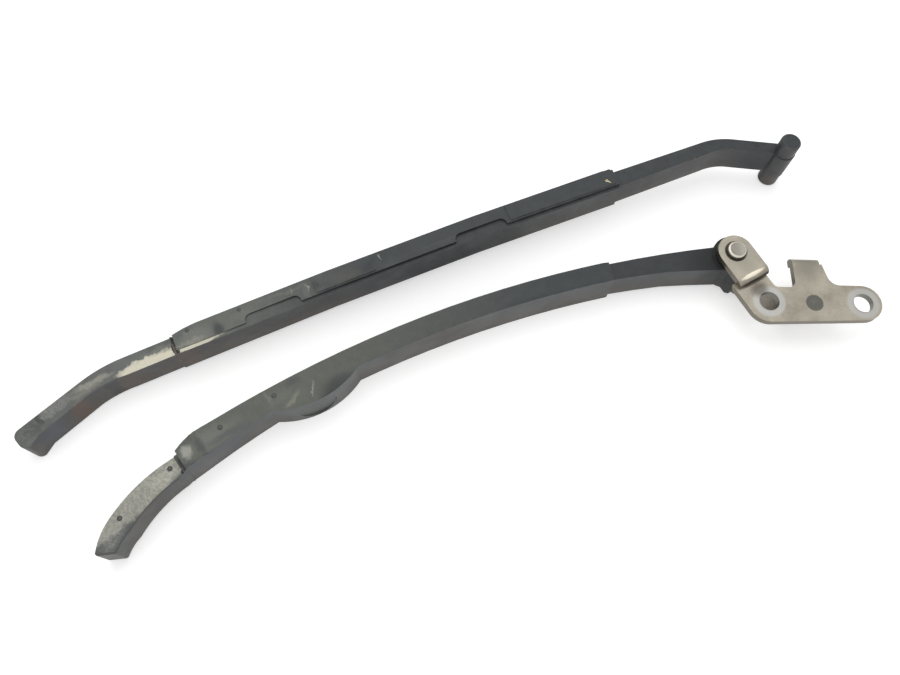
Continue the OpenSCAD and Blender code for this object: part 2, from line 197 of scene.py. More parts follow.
def nylon(name, near, far, span, back, spots=(), edge=False):
    """Injection moulded nylon, oil stained from use: a satin skin with a fine moulded
    grain, darker towards the bracket and paler towards the free end, with browner back
    faces, dry scuffs, a few bright scuffed spots and some spots of painted highlight and
    painted shade. edge lays a paler mottle, a painted highlight for the rounded edges.
    near and far are pairs of tones, span is where the change starts and ends along X, and
    back is a pair of tones for the upper and the lower part of the back faces."""
    mat, tree = new_material(name)
    coords = add(tree, "ShaderNodeTexCoord")
    obj = coords.outputs["Object"]
    # cloud 14 mm, mottle 3 mm, speck 0.7 mm (real grain is finer; drawn coarse enough to show)
    cloud = add(tree, "ShaderNodeTexNoise", {"Vector": obj, "Scale": 70.0, "Detail": 4.0,
                                             "Roughness": 0.6})
    mottle = add(tree, "ShaderNodeTexNoise", {"Vector": obj, "Scale": 330.0, "Detail": 5.0,
                                              "Roughness": 0.65})
    speck = add(tree, "ShaderNodeTexNoise", {"Vector": obj, "Scale": 1400.0, "Detail": 4.0,
                                             "Roughness": 0.7})
    blend = times(tree, cloud.outputs[0], 0.5)
    blend = add(tree, "ShaderNodeMath", {0: mottle.outputs[0], 1: 0.35, 2: blend},
                operation="MULTIPLY_ADD")
    blend = add(tree, "ShaderNodeMath", {0: speck.outputs[0], 1: 0.15, 2: blend.outputs[0]},
                operation="MULTIPLY_ADD")
    tone = add(tree, "ShaderNodeMapRange", {0: blend.outputs[0], 1: 0.38, 2: 0.62}).outputs[0]
    place = add(tree, "ShaderNodeSeparateXYZ", {0: obj})
    run = add(tree, "ShaderNodeMapRange", {0: place.outputs[0], 1: span[0] * MM,
                                           2: span[1] * MM}, interpolation_type="SMOOTHSTEP")
    ends = [add(tree, "ShaderNodeMix", {0: tone, 6: linear(pair[0]), 7: linear(pair[1])},
                data_type="RGBA").outputs[2] for pair in (near, far)]
    base = add(tree, "ShaderNodeMix", {0: run.outputs[0], 6: ends[0], 7: ends[1]},
               data_type="RGBA").outputs[2]
    # back faces look towards -Y
    facing = add(tree, "ShaderNodeSeparateXYZ", {0: coords.outputs["Normal"]})
    behind = add(tree, "ShaderNodeMapRange", {0: facing.outputs[1], 1: -0.3,
                                              2: -0.6}).outputs[0]
    upward = add(tree, "ShaderNodeMapRange", {0: facing.outputs[2], 1: 0.7,
                                              2: 0.95}).outputs[0]
    drift = add(tree, "ShaderNodeMath", {0: cloud.outputs[0], 1: 0.008,
                                         2: place.outputs[2]}, operation="MULTIPLY_ADD")
    lower = add(tree, "ShaderNodeMapRange", {0: drift.outputs[0], 1: 0.0025, 2: -0.0025})
    wall = add(tree, "ShaderNodeMix", {0: lower.outputs[0], 6: linear(back[0]),
                                       7: linear(back[1])}, data_type="RGBA").outputs[2]
    wall = stack(tree, wall, [(times(tree, tone, 0.35), "#77736e")])
    base = add(tree, "ShaderNodeMix", {0: behind, 6: base, 7: wall},
               data_type="RGBA").outputs[2]
    warp = add(tree, "ShaderNodeVectorMath", {0: mottle.outputs[1], 1: (0.5, 0.5, 0.5)},
               operation="SUBTRACT")
    warp = add(tree, "ShaderNodeVectorMath", {0: warp.outputs[0], 1: (0.004, 0.004, 0), 2: obj},
               operation="MULTIPLY_ADD").outputs[0]
    for place, heading, half, code, strength, soft, speckle, on_back in spots:
        mask = soft_oval_mask(tree, warp, place, heading, half, soft)
        if speckle:
            broken = add(tree, "ShaderNodeMapRange", {0: speck.outputs[0], 1: 0.43, 2: 0.6,
                                                      3: 1.0 - speckle})
            mask = times(tree, mask, broken.outputs[0])
        mask = times(tree, mask, strength, behind if on_back else upward)
        base = stack(tree, base, [(mask, code)])
    # edge: a paler mottle for the rounded edges, a painted highlight
    if edge:
        highlit = add(tree, "ShaderNodeMapRange", {0: mottle.outputs[0], 1: 0.42, 2: 0.62,
                                                  3: 0.05, 4: 0.4})
        base = stack(tree, base, [(highlit.outputs[0], "#6d706c")])
    rough = add(tree, "ShaderNodeMapRange", {0: cloud.outputs[0], 1: 0.35, 2: 0.65,
                                             3: 0.42, 4: 0.6})
    height = add(tree, "ShaderNodeMath", {0: mottle.outputs[0], 1: 0.6, 2: speck.outputs[0]},
                 operation="MULTIPLY_ADD")
    bump = add(tree, "ShaderNodeBump", {"Strength": 0.22, "Distance": 0.00012,
                                        "Height": height.outputs[0]})
    skin = add(tree, "ShaderNodeBsdfPrincipled", {"Base Color": base,
                                                  "Roughness": rough.outputs[0],
                                                  "Normal": bump.outputs[0]})
    skin.inputs["IOR"].default_value = 1.5
    skin.inputs["Specular IOR Level"].default_value = 0.3
    add(tree, "ShaderNodeOutputMaterial", {0: skin.outputs[0]})
    return mat


def stamped_steel(name, dark, pale, spots=()):
    """Stamped low-carbon steel, tumbled and oiled: warm grey, softly mottled, with fine
    random scratches and darker upright faces. Spots lay patches over it, such as pale coined
    rings round the holes, darker patches, painted highlight and painted shade. Each
    spot is (place, heading, half sizes, level, reach, hex, strength, edge)."""
    mat, tree = new_material(name)
    obj = add(tree, "ShaderNodeTexCoord").outputs["Object"]
    cloud = add(tree, "ShaderNodeTexNoise", {"Vector": obj, "Scale": 140.0, "Detail": 4.0})
    pits = add(tree, "ShaderNodeTexNoise", {"Vector": obj, "Scale": 1400.0, "Detail": 3.0})
    stretch = add(tree, "ShaderNodeMapping", {0: obj, 3: (0.12, 1.0, 1.0)})
    # scratches 0.4 mm apart, drawn coarser than the real ones
    scratch = add(tree, "ShaderNodeTexNoise", {"Vector": stretch.outputs[0], "Scale": 2600.0,
                                               "Detail": 2.0})
    tone = add(tree, "ShaderNodeMath", {0: pits.outputs[0], 1: 0.4, 2: cloud.outputs[0]},
               operation="MULTIPLY_ADD")
    tone = add(tree, "ShaderNodeMapRange", {0: tone.outputs[0], 1: 0.5, 2: 0.9})
    base = add(tree, "ShaderNodeMix", {0: tone.outputs[0], 6: linear(dark), 7: linear(pale)},
               data_type="RGBA").outputs[2]
    wobble = add(tree, "ShaderNodeVectorMath", {0: pits.outputs[1], 1: (0.0003, 0.0003, 0),
                                                2: obj}, operation="MULTIPLY_ADD").outputs[0]
    for place, heading, half, level, reach, code, strength, soft in spots:
        mask = soft_oval_mask(tree, wobble, place, heading, half, soft, level, reach)
        base = stack(tree, base, [(times(tree, mask, strength), code)])
    # the walls of holes and cut edges are in shade and hold more oil
    facing = add(tree, "ShaderNodeSeparateXYZ", {
        0: add(tree, "ShaderNodeTexCoord").outputs["Normal"]})
    level = add(tree, "ShaderNodeMath", {0: facing.outputs[2]}, operation="ABSOLUTE")
    cut = add(tree, "ShaderNodeMapRange", {0: level.outputs[0], 1: 0.5, 2: 0.1, 4: 0.6})
    base = stack(tree, base, [(cut.outputs[0], "#5d584f")])
    rough = add(tree, "ShaderNodeMapRange", {0: cloud.outputs[0], 1: 0.3, 2: 0.7, 3: 0.34,
                                             4: 0.5})
    bump = add(tree, "ShaderNodeBump", {"Strength": 0.12, "Distance": 0.00006,
                                        "Height": scratch.outputs[0]})
    skin = add(tree, "ShaderNodeBsdfPrincipled", {"Base Color": base,
                                                  "Roughness": rough.outputs[0],
                                                  "Normal": bump.outputs[0]})
    skin.inputs["Metallic"].default_value = 1.0
    add(tree, "ShaderNodeOutputMaterial", {0: skin.outputs[0]})
    return mat


def turned_steel(name, centre):
    """Turned pin steel with its end peened over: fine rings round the axis, and pale beyond 2.4 mm from the axis,
    a painted highlight on the head's rim.
    """
    mat, tree = new_material(name)
    obj = add(tree, "ShaderNodeTexCoord").outputs["Object"]
    axis = add(tree, "ShaderNodeMapping", {0: obj, 1: (-centre.x, -centre.y, 0),
                                           3: (1, 1, 0)})
    # turning marks 0.25 mm apart
    rings = add(tree, "ShaderNodeTexWave", {"Vector": axis.outputs[0], "Scale": 640.0,
                                            "Distortion": 1.5, "Detail": 2.0},
                wave_type="RINGS", rings_direction="SPHERICAL")
    spots = add(tree, "ShaderNodeTexNoise", {"Vector": obj, "Scale": 500.0, "Detail": 3.0})
    base = add(tree, "ShaderNodeMix", {0: spots.outputs[0], 6: linear("#7d7972"),
                                       7: linear("#99948b")}, data_type="RGBA").outputs[2]
    far = add(tree, "ShaderNodeVectorMath", {0: axis.outputs[0]}, operation="LENGTH")
    # painted highlight: pale from 2.4 to 2.8 mm out from the axis, for the light on the pin head's chamfered rim
    rim = add(tree, "ShaderNodeMapRange", {0: far.outputs[1], 1: 0.0024, 2: 0.0028})
    base = stack(tree, base, [(rim.outputs[0], "#d3cec2")])
    bump = add(tree, "ShaderNodeBump", {"Strength": 0.08, "Distance": 0.00004,
                                        "Height": rings.outputs[1]})
    skin = add(tree, "ShaderNodeBsdfPrincipled", {"Base Color": base,
                                                  "Normal": bump.outputs[0]})
    skin.inputs["Metallic"].default_value = 1.0
    skin.inputs["Roughness"].default_value = 0.34
    add(tree, "ShaderNodeOutputMaterial", {0: skin.outputs[0]})
    return mat


def pin_mark(name):
    """Ejector pin mark in moulded nylon: a small sunk disc that has filled with dark oil."""
    mat, tree = new_material(name)
    obj = add(tree, "ShaderNodeTexCoord").outputs["Object"]
    dust = add(tree, "ShaderNodeTexNoise", {"Vector": obj, "Scale": 1500.0, "Detail": 3.0})
    base = add(tree, "ShaderNodeMix", {0: dust.outputs[0], 6: linear("#3b3c3b"),
                                       7: linear("#5a5b58")}, data_type="RGBA")
    skin = add(tree, "ShaderNodeBsdfPrincipled", {"Base Color": base.outputs[2]})
    skin.inputs["Roughness"].default_value = 0.5
    add(tree, "ShaderNodeOutputMaterial", {0: skin.outputs[0]})
    return mat


def studio_paper(name):
    """Seamless white paper: plain, and white where nothing shades it."""
    mat, tree = new_material(name)
    rays = add(tree, "ShaderNodeLightPath")
    seen = add(tree, "ShaderNodeMath", {0: rays.outputs["Is Camera Ray"],
                                        1: rays.outputs["Is Glossy Ray"]}, operation="MAXIMUM")
    seen = add(tree, "ShaderNodeMath", {0: seen.outputs[0],
                                        1: rays.outputs["Is Transmission Ray"]},
               operation="MAXIMUM")
    glow = add(tree, "ShaderNodeMath", {0: seen.outputs[0], 1: 0.5}, operation="MULTIPLY")
    paper = add(tree, "ShaderNodeBsdfDiffuse", {0: (0.78, 0.78, 0.78, 1)})
    light = add(tree, "ShaderNodeEmission", {0: (1, 1, 1, 1), 1: glow.outputs[0]})
    both = add(tree, "ShaderNodeAddShader", {0: paper.outputs[0], 1: light.outputs[0]})
    add(tree, "ShaderNodeOutputMaterial", {0: both.outputs[0]})
    return mat


# ---- Meshes ----

def cad_solid(node):
    """A merged copy of a CAD node with its flat faces whole again."""
    bm = bmesh.new()
    bm.from_mesh(NODES[node].data)
    bmesh.ops.remove_doubles(bm, verts=bm.verts, dist=2e-6)
    bmesh.ops.dissolve_limit(bm, angle_limit=math.radians(0.2), verts=bm.verts,
                             edges=bm.edges)
    return bm


def finish_mesh(bm, name, materials, bevel, segments=3, smooth=28, angle=32):
    """Round the sharp edges of a mesh, but for tagged ones, and return it as a plain
    object at the origin."""
    weight = bm.edges.layers.float.new("bevel_weight_edge")
    for edge in bm.edges:
        if edge.is_manifold and not all(v.tag for v in edge.verts):
            edge[weight] = float(edge.calc_face_angle(0) > math.radians(angle))
    mesh = bpy.data.meshes.new(name)
    bm.to_mesh(mesh)
    bm.free()
    for mat in materials:
        mesh.materials.append(mat)
    mesh.shade_smooth()
    mesh.set_sharp_from_angle(angle=math.radians(smooth))
    obj = bpy.data.objects.new(name, mesh)
    bpy.context.scene.collection.objects.link(obj)
    if bevel:
        rounding = obj.modifiers.new("Edge rounding", "BEVEL")
        rounding.width = bevel
        rounding.segments = segments
        rounding.limit_method = "WEIGHT"
        # the bevels take the second material, a paler copy that paints a highlight on the rounded edges
        if len(materials) > 1:
            rounding.material = 1
        even = obj.modifiers.new("Even shading", "WEIGHTED_NORMAL")
        even.weight = 80
        even.keep_sharp = True
    return settle(obj)


def settle(obj):
    """Turn what the modifiers make into the object's own plain mesh."""
    bpy.context.view_layer.update()
    graph = bpy.context.evaluated_depsgraph_get()
    mesh = bpy.data.meshes.new_from_object(obj.evaluated_get(graph), depsgraph=graph)
    old = obj.data
    obj.modifiers.clear()
    obj.data = mesh
    mesh.name = obj.name
    if old.users == 0:
        bpy.data.meshes.remove(old)
    return obj


def hand_over(obj, body, slot, *nodes):
    """Tell the frame what the piece rides on and stands for. The slot, the finish it would take from, is not used.
    """
    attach(obj, body)
    if nodes:
        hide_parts(*nodes)


def cross_cut(bm, place, heading):
    """Cut the mesh square to a heading, so that it can be shaped there."""
    bmesh.ops.bisect_plane(
        bm, geom=bm.verts[:] + bm.edges[:] + bm.faces[:], dist=1e-7,
        plane_co=(place[0] * MM, place[1] * MM, 0),
        plane_no=(math.cos(math.radians(heading)), math.sin(math.radians(heading)), 0))


def shape_sides(bm, place, heading, mid, half, profile, reach=12.0, crisp=False):
    """Raise or sink both side faces along a short stretch of a bar.
    profile is a list of (distance along the heading, rise), in millimetres. Crisp edges
    are left out of the rounding."""
    along = Vector((math.cos(math.radians(heading)), math.sin(math.radians(heading)), 0))
    foot = Vector((place[0], place[1], 0)) * MM
    for s, _ in profile:
        cross_cut(bm, (place[0] + s * along.x, place[1] + s * along.y), heading)
    for v in bm.verts:
        side = (v.co - mid(v.co)).z
        d = (v.co - foot).xy.dot(along.xy) / MM
        off = abs((v.co - foot).xy.cross(along.xy)) / MM
        if abs(side) < half or off > reach:
            continue
        for s, rise in profile:
            if abs(d - s) < 0.005:
                v.co.z += math.copysign(rise * MM, side)
                v.tag = crisp
        if crisp and abs(d) < 0.005:
            v.tag = True


def blade_mid(co):
    return Vector((co.x, co.y, BLADE_MID))


def guide_mid(co):
    """The guide's mid plane: it lies tilted, with its cross pin square to it."""
    drop = ((co - CROSS_PIN).x * GUIDE_UP.x + (co - CROSS_PIN).y * GUIDE_UP.y) / GUIDE_UP.z
    return Vector((co.x, co.y, CROSS_PIN.z - drop))


def lathe(name, profile, centre, materials, steps=64, smooth=28):
    """Turn a closed profile of (radius, height) pairs about a vertical axis."""
    bm = bmesh.new()
    rings = []
    for r, z in profile:
        if r == 0:
            rings.append([bm.verts.new((centre.x, centre.y, z * MM))])
        else:
            rings.append([bm.verts.new((centre.x + r * MM * math.cos(2 * math.pi * k / steps),
                                        centre.y + r * MM * math.sin(2 * math.pi * k / steps),
                                        z * MM)) for k in range(steps)])
    pairs = list(zip(rings, rings[1:]))
    if profile[0][0] and profile[-1][0]:
        pairs.append((rings[-1], rings[0]))
    for a, b in pairs:
        for k in range(steps):
            j = (k + 1) % steps
            ring = [a[k % len(a)], a[j % len(a)], b[j % len(b)], b[k % len(b)]]
            bm.faces.new(list(dict.fromkeys(ring)))
    bmesh.ops.recalc_face_normals(bm, faces=bm.faces)
    return finish_mesh(bm, name, materials, 0, smooth=smooth)


def round_corner(cx, cz, r, start, steps=5):
    """Points of a quarter turn of a profile, anticlockwise from start degrees."""
    return [(cx + r * math.cos(math.radians(start + 90 * k / steps)),
             cz + r * math.sin(math.radians(start + 90 * k / steps)))
            for k in range(steps + 1)]


# ---- Settings ----

class ChainGuideSettings(bpy.types.PropertyGroup):
    """Sizes and colours that a user would change."""
    edge_round: bpy.props.FloatProperty(
        name="Moulded edge radius", description="Rounding of the nylon's edges",
        default=0.55 * MM, min=0.1 * MM, max=1.0 * MM, unit="LENGTH", precision=5)
    sheet_round: bpy.props.FloatProperty(
        name="Sheet edge radius", description="Rounding of the stamped steel's edges",
        default=0.4 * MM, min=0.1 * MM, max=1.0 * MM, unit="LENGTH", precision=5)
    mark_radius: bpy.props.FloatProperty(
        name="Ejector mark radius", description="Radius of the round marks in the nylon",
        default=0.8 * MM, min=0.4 * MM, max=2.0 * MM, unit="LENGTH", precision=5)
    shoe_colour: bpy.props.StringProperty(
        name="Shoe colour", description="sRGB hex of the shoes' darker tone",
        default="#2f3335")
    arm_colour: bpy.props.StringProperty(
        name="Arm colour", description="sRGB hex of the arms' darker tone",
        default="#282b2d")
    key_light: bpy.props.FloatProperty(
        name="Overhead light", description="Power of the large soft box overhead",
        default=2.7, min=0.0, max=50.0, unit="POWER")


# ---- Pieces ----

class CHAINGUIDE_OT_bracket(bpy.types.Operator):
    """Stamped bracket plate and the strap welded under it"""
    bl_idname = "chainguide.bracket"
    bl_label = "Bracket"

    def execute(self, context):
        settings = context.scene.chain_guide
        ear = Vector((math.cos(math.radians(-60)), math.sin(math.radians(-60))))

        def on_ear(reach):
            return PIVOT.x / MM + reach * ear.x, PIVOT.y / MM + reach * ear.y

        top, ear_top = PLATE_TOP / MM, 2 * PLATE_TOP / MM
        holes = [(x, 0) for x in (-HOLE_SPACING / 2, HOLE_SPACING / 2)]
        spots = [((-1.5, 13), 0, (7, 9), top, 20, "#7d7a70", 0.75, 0.9),
                 (on_ear(2), 0, (9, 8), ear_top, 8, "#8d8b80", 0.6, 0.8),
                 (on_ear(6), -60, (5, 4), ear_top, 8, "#8a887c", 0.5, 0.8)]
        spots += [(hole, 0, (5.9, 5.9), top, 5.9, "#adadaa", 0.75, 0.16) for hole in holes]
        # painted shade in the bolt holes: darker walls and rims
        spots += [(hole, 0, (HOLE_R + 0.3,) * 2, top, 30, "#7f7c76", 0.7, 0.1)
                  for hole in holes]
        # painted highlight along the outer bend of the joggle
        spots += [(on_ear(9.55), 30, (6.0, 0.85), ear_top - 0.35, 3, "#eee6d3", 0.95, 0.5),
                  # painted shade in the crease at the foot of the joggle
                  (on_ear(11.7), 30, (7.5, 0.75), top, 6, "#37332d", 0.85, 0.6),
                  (on_ear(14.6), -60, (3.9, 4.6), top, 5, "#4f4a42", 0.72, 0.75),
                  ((-0.6, -0.2), 0, (3.1, 3.1), top, 3.1, "#5a5955", 0.92, 0.12),
                  ((-0.9, 0.3), 20, (1.6, 1.2), top, 1.6, "#6c6a66", 0.5, 0.9),
                  # painted shade in the gap round the pin head, laid on the ear
                  (on_ear(0), 0, (3.95, 3.95), ear_top, 8, "#2c2a27", 0.92, 0.12)]
        plate = finish_mesh(cad_solid("bracket_plate"), "Bracket_plate",
                            [stamped_steel("Stamped steel, tumbled", "#8d877b", "#a59f92",
                                           spots)],
                            settings.sheet_round, segments=3)
        hand_over(plate, "bracket", "bracket_steel", "bracket_plate")
        # the strap takes the plate's steel in darker tones: painted shade for its place under the plate
        strap = finish_mesh(cad_solid("bracket_strap"), "Bracket_strap",
                            [stamped_steel("Strap steel, painted shade", "#6f6b63", "#8b867d")],
                            settings.sheet_round * 0.6, segments=2)
        hand_over(strap, "bracket", "bracket_steel", "bracket_strap")
        return {"FINISHED"}


class CHAINGUIDE_OT_pivot(bpy.types.Operator):
    """Riveted pivot pin and the bush in the blade's eye"""
    bl_idname = "chainguide.pivot"
    bl_label = "Pivot"

    def execute(self, context):
        low, high = (c.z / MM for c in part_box("pivot_pin"))
        spigot, shoulder, ledge, seat = 3.1, 4.0, low + 1.6, 2.5
        steel = turned_steel("Turned pin steel", PIVOT)
        profile = ([(0, low), (spigot - 0.2, low), (spigot, low + 0.2), (spigot, ledge),
                    (shoulder, ledge), (shoulder, seat), (spigot, seat)]
                   + round_corner(spigot - 0.55, high - 0.55, 0.55, 0)
                   + [(spigot - 0.95, high - 0.05), (0, high - 0.09)])
        pin = lathe("Pivot_pin", profile, PIVOT, [steel])
        hand_over(pin, "bracket", "pin_steel", "pivot_pin")
        low, high = (c.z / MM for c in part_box("eye_bush"))
        bore, outer = 4.05, 5.0
        profile = [(bore, low + 0.15), (bore + 0.15, low), (outer, low), (outer, high),
                   (bore + 0.15, high), (bore, high - 0.15)]
        bush = lathe("Eye_bush", profile, PIVOT, [steel])
        hand_over(bush, "blade", "pin_steel", "eye_bush")
        return {"FINISHED"}


class CHAINGUIDE_OT_blade(bpy.types.Operator):
    """Tensioner blade: black arm and over-moulded shoe"""
    bl_idname = "chainguide.blade"
    bl_label = "Tensioner blade"

    def execute(self, context):
        settings = context.scene.chain_guide
        (step_x, step_y), step_way = on_blade(SHOE_END, 5.5)
        arm_wear_and_light = [
            wear_or_light((-213.5, -67.5), 228, (25, 4.6), "#8f8f87", 0.8, 0.3),
            wear_or_light((-213.5, -67.5), 228, (24, 4.2), "#adaca0", 0.85, 0.3, 0.85),
            wear_or_light((-208.0, -62.0), 224, (7, 3.0), "#b9b7a9", 0.7, 0.7, 0.6),
            wear_or_light((-220.0, -79.5), 245, (6, 3.4), "#9c9c96", 0.6, 0.6, 0.7),
            wear_or_light((-218.6, -66.5), 228, (24, 1.0), "#5a5d5c", 0.6, 0.6),
            wear_or_light((-206.8, -68.0), 228, (22, 1.1), "#54575a", 0.8, 0.6),
            # partly painted shade under the bracket's ear, partly oily black nylon: very dark round the eye
            wear_or_light((PIVOT.x / MM - 3, PIVOT.y / MM - 2), 190, (19, 13), "#0f1112", 0.9, 0.75),
            wear_or_light((-45, 19), 190, (9, 4), "#202325", 0.6, 0.9, 0.3),
            # painted shadow: a dark strip in the groove at the end of the shoe
            wear_or_light((step_x - 0.4, step_y - 0.35), step_way, (0.8, 8), "#1b1d1f", 0.95, 0.3),
            # painted shade on the back faces under the bracket plate
            wear_or_light((-26, 5), 150, (16, 8), "#15181a", 0.9, 0.6, back=True),
            wear_or_light((-214, -76), 235, (22, 30), "#5f5b57", 0.6, 0.9, back=True),
        ]
        dark = settings.arm_colour
        bm = cad_solid("blade_arm")
        self.soften_tip(bm)
        shape_sides(bm, (step_x, step_y), step_way, blade_mid, 4.5 * MM,
                    [(0.02, -0.9), (0.9, -0.9), (1.3, 0)], crisp=True)
        arm = finish_mesh(
            bm, "Blade_arm",
            [nylon("Glass-filled nylon, black", (dark, "#383c3e"), ("#4c4f4f", "#676964"),
                   (-70, -200), ("#4b4f53", "#54534f"), arm_wear_and_light),
             # the paler second copy goes on the rounded edges: a painted highlight
             nylon("Glass-filled nylon, rubbed edge", (dark, "#3d4143"),
                   ("#52554f", "#6d6f6a"), (-70, -200), ("#505458", "#595854"), arm_wear_and_light,
                   edge=True)],
            settings.edge_round)
        hand_over(arm, "blade", "arm_nylon", "blade_arm")

        shoe_patches = [
            wear_or_light((-195.5, -50.0), 214, (15, 5.2), "#7c7e78", 0.55, 0.9, 0.2),
            # painted highlight and painted shade: a bright spot on the shoulder's slope, then a dark band on the
            # slope beyond
            wear_or_light((-201.6, -54.2), 217, (2.2, 2.9), "#a3a39b", 0.85, 0.6),
            wear_or_light((-197.8, -52.2), 217, (1.7, 5.2), "#3f4242", 0.75, 0.8),
            wear_or_light((-201.5, -58.8), 217, (4.5, 1.3), "#45484a", 0.7, 0.7),
            wear_or_light((-190.0, -48.5), 213, (12, 1.6), "#4f5354", 0.6, 0.8),
            wear_or_light((-178.8, -37.0), 120, (4.6, 0.8), "#767974", 0.6, 0.8),
            wear_or_light((-171.0, -37.0), 58, (5.0, 1.5), "#8c8b7d", 0.62, 0.8),
            wear_or_light((-174.5, -36.5), 208, (8.0, 3.5), "#6f716b", 0.45, 0.9, 0.2),
            wear_or_light((-171.4, -31.3), 200, (3.4, 1.6), "#43474a", 0.6, 0.8),
            wear_or_light((-165.2, -33.6), 95, (3.4, 0.5), "#9a9b93", 0.75, 0.7, 0.3),
            wear_or_light((-156.5, -32.0), 207, (9.5, 5.0), "#2a2d2f", 0.75, 0.8, 0.1),
            wear_or_light((-160.0, -36.0), 215, (5.0, 2.2), "#232628", 0.6, 0.8),
            wear_or_light((-142.0, -24.0), 205, (9.0, 3.0), "#25282b", 0.55, 0.9, 0.1),
            wear_or_light((-128.0, -16.0), 200, (14.0, 2.0), "#4c5052", 0.4, 0.9, 0.2),
            wear_or_light((-95.0, -2.0), 197, (16.0, 2.6), "#25292b", 0.5, 0.9, 0.2),
            wear_or_light((-164, -38), 206, (15, 30), "#6f7172", 0.75, 0.7, back=True),
            wear_or_light((-190, -54), 213, (14, 30), "#5d6064", 0.5, 0.8, back=True),
            wear_or_light((-120, -20), 200, (22, 30), "#57534f", 0.5, 0.9, back=True),
        ]
        bm = cad_solid("blade_shoe")
        shape_sides(bm, (step_x, step_y), step_way + 180, blade_mid, 6 * MM,
                    [(0.8, 0.0), (2.4, 0.05), (4.2, -0.2), (5.8, -0.55), (7.6, -0.5),
                     (10.0, -0.15), (12.5, 0.0)])
        shoe = finish_mesh(
            bm, "Blade_shoe",
            [nylon("Nylon 66, charcoal", (settings.shoe_colour, "#3c4042"),
                   ("#52564f", "#64665f"), (-75, -185), ("#505355", "#585753"), shoe_patches),
             # the paler second copy goes on the rounded edges: a painted highlight
             nylon("Nylon 66, rubbed edge", (settings.shoe_colour, "#434849"),
                   ("#5a5e58", "#6c6f69"), (-75, -185), ("#57595b", "#605f5c"), shoe_patches,
                   edge=True)],
            settings.edge_round)
        hand_over(shoe, "blade", "shoe_nylon", "blade_shoe")
        return {"FINISHED"}

    @staticmethod
    def soften_tip(bm):
        """Round the worn back edges and the corners of the free tip."""
        long_edges, corners = [], []
        for e in bm.edges:
            if len(e.link_faces) != 2:
                continue
            mid = (e.verts[0].co + e.verts[1].co) / 2
            if mid.x > -0.2025:
                continue
            ups = [f for f in e.link_faces if abs(f.normal.z) > 0.99]
            walls = [f for f in e.link_faces if abs(f.normal.z) < 0.01]
            if len(ups) == 1 and walls and walls[0].normal.x - walls[0].normal.y > 0.9:
                long_edges.append(e)
            elif len(walls) == 2 and mid.y < -0.08 and e.calc_face_angle(0) > 0.6:
                corners.append(e)
        if not long_edges or len(corners) < 2:
            raise RuntimeError("the tip's edges were not found")
        bmesh.ops.bevel(bm, geom=long_edges + corners, offset=1.1 * MM, segments=4,
                        profile=0.5, affect="EDGES", clamp_overlap=True)


